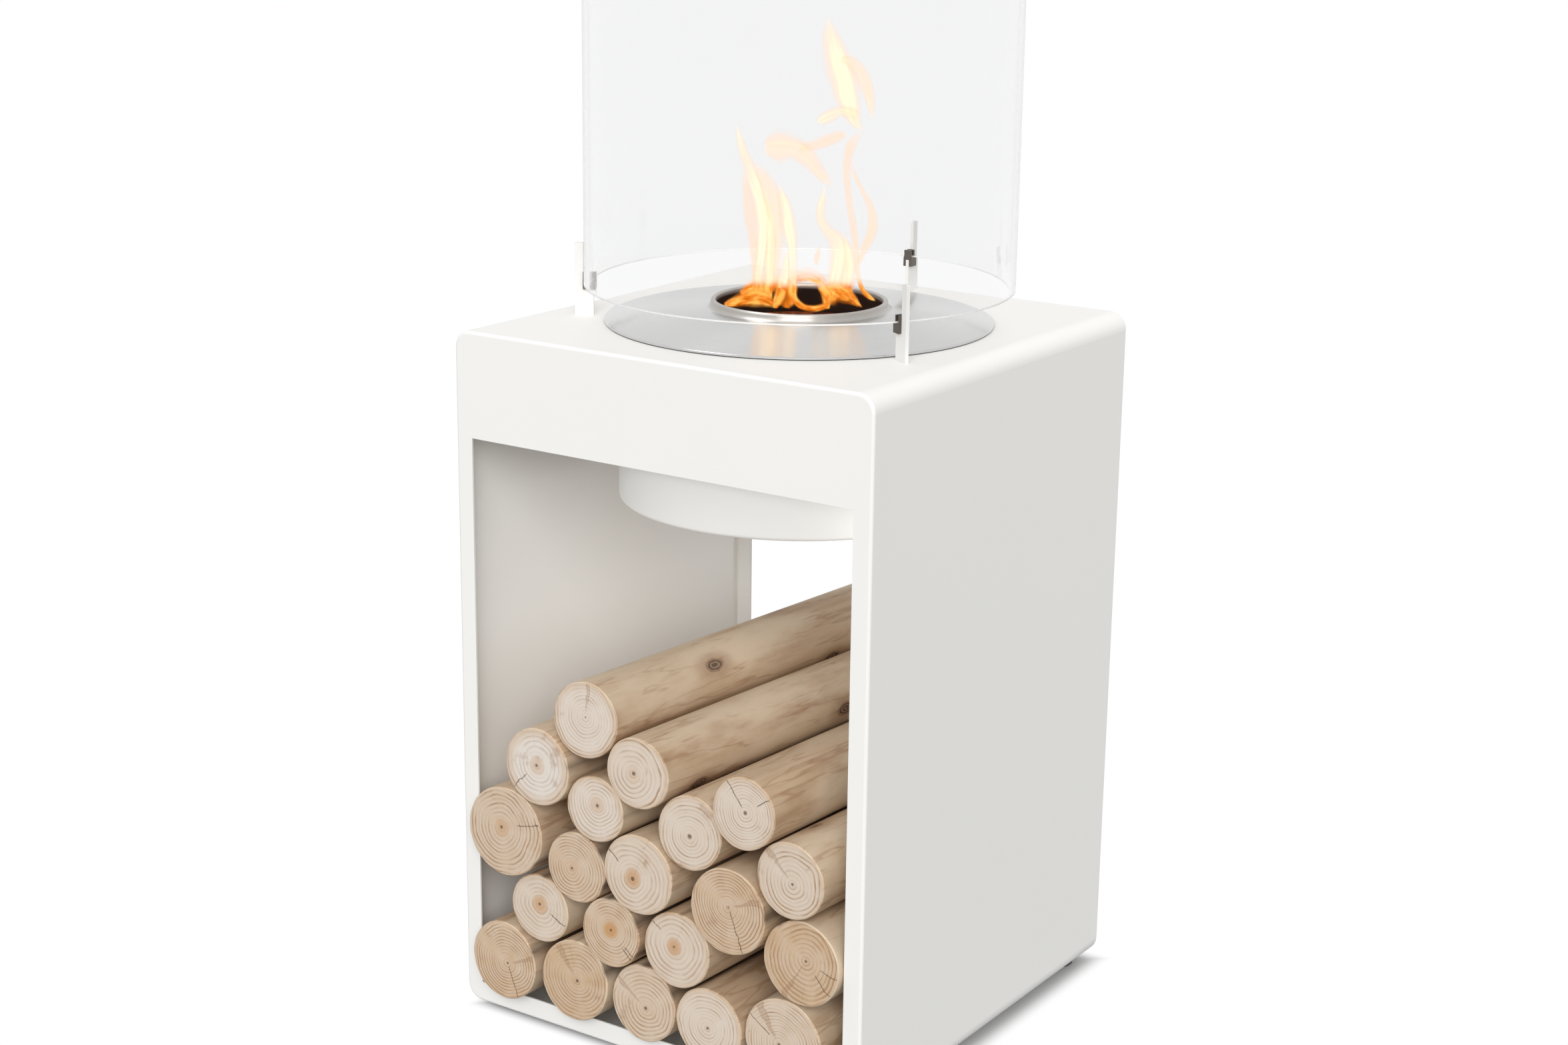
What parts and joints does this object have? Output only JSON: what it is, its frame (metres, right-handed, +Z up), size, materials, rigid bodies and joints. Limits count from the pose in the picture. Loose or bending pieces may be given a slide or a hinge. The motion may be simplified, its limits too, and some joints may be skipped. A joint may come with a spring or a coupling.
{
  "type": "ethanol fireplace",
  "caption": "Free-standing ethanol fireplace: folded steel cabinet with an open log store, drop-in round burner, and a glass cylinder on notched posts above the top.",
  "frame": {"origin": "on the floor under the centre of the cabinet", "axes": "+Z up, -Y towards the front of the log store, +X to the right seen from the front"},
  "size_m": [0.54, 0.5816, 1.343],
  "materials": {
    "white_paint": "satin powder coat",
    "brushed_stainless": "brushed in rings",
    "stainless_tank": "mill",
    "heat_stained_steel": "darkened by heat",
    "black_seal": "matt",
    "clear_glass": "clear, ground edges",
    "dark_steel": "blackened",
    "zinc_steel": "zinc plated",
    "foot_plastic": "moulded",
    "peeled_wood": "peeled, sawn ends"
  },
  "bodies": {
    "cabinet": {"cabinet_wrap": "white_paint", "base_tray": "white_paint", "front_frame": "white_paint", "rear_frame": "white_paint", "burner_drum": "white_paint", "drum_ring": "white_paint", "drum_fixings": "zinc_steel", "post_front_left": "white_paint", "post_front_right": "white_paint", "post_rear": "white_paint", "clip_front_left": "dark_steel", "clip_front_right": "dark_steel", "clip_rear": "dark_steel", "clip_pins": "dark_steel", "post_brackets": "zinc_steel", "post_bolts": "zinc_steel", "foot_inserts": "zinc_steel"},
    "burner": {"burner_plate": "brushed_stainless", "burner_gasket": "black_seal", "fuel_tank": "stainless_tank", "flame_basket": "heat_stained_steel"},
    "glass": {"glass_screen": "clear_glass"},
    "logs": {"log_01": "peeled_wood", "log_02": "peeled_wood", "log_03": "peeled_wood", "log_04": "peeled_wood", "log_05": "peeled_wood", "log_06": "peeled_wood", "log_07": "peeled_wood", "log_08": "peeled_wood", "log_09": "peeled_wood", "log_10": "peeled_wood", "log_11": "peeled_wood", "log_12": "peeled_wood", "log_13": "peeled_wood", "log_14": "peeled_wood", "log_15": "peeled_wood", "log_16": "peeled_wood", "log_17": "peeled_wood", "log_18": "peeled_wood", "log_19": "peeled_wood", "log_20": "peeled_wood"},
    "foot_front_left": {"foot_pad_front_left": "foot_plastic", "foot_stud_front_left": "zinc_steel"},
    "foot_front_right": {"foot_pad_front_right": "foot_plastic", "foot_stud_front_right": "zinc_steel"},
    "foot_rear_left": {"foot_pad_rear_left": "foot_plastic", "foot_stud_rear_left": "zinc_steel"},
    "foot_rear_right": {"foot_pad_rear_right": "foot_plastic", "foot_stud_rear_right": "zinc_steel"}
  },
  "joints": [
    {"name": "glass_lift", "type": "slide", "parent": "cabinet", "child": "glass", "axis": [0, 0, 1], "range_m": [0, 0.06]},
    {"name": "burner_lift", "type": "slide", "parent": "cabinet", "child": "burner", "axis": [0, 0, 1], "range_m": [0, 0.15]},
    {"name": "logs_out", "type": "slide", "parent": "cabinet", "child": "logs", "axis": [0, -0.9991, 0.0416], "range_m": [0, 0.6]},
    {"name": "foot_level_front_left", "type": "slide", "parent": "cabinet", "child": "foot_front_left", "axis": [0, 0, -1], "range_m": [0, 0.008]},
    {"name": "foot_level_front_right", "type": "slide", "parent": "cabinet", "child": "foot_front_right", "axis": [0, 0, -1], "range_m": [0, 0.008]},
    {"name": "foot_level_rear_left", "type": "slide", "parent": "cabinet", "child": "foot_rear_left", "axis": [0, 0, -1], "range_m": [0, 0.008]},
    {"name": "foot_level_rear_right", "type": "slide", "parent": "cabinet", "child": "foot_rear_right", "axis": [0, 0, -1], "range_m": [0, 0.008]}
  ]
}
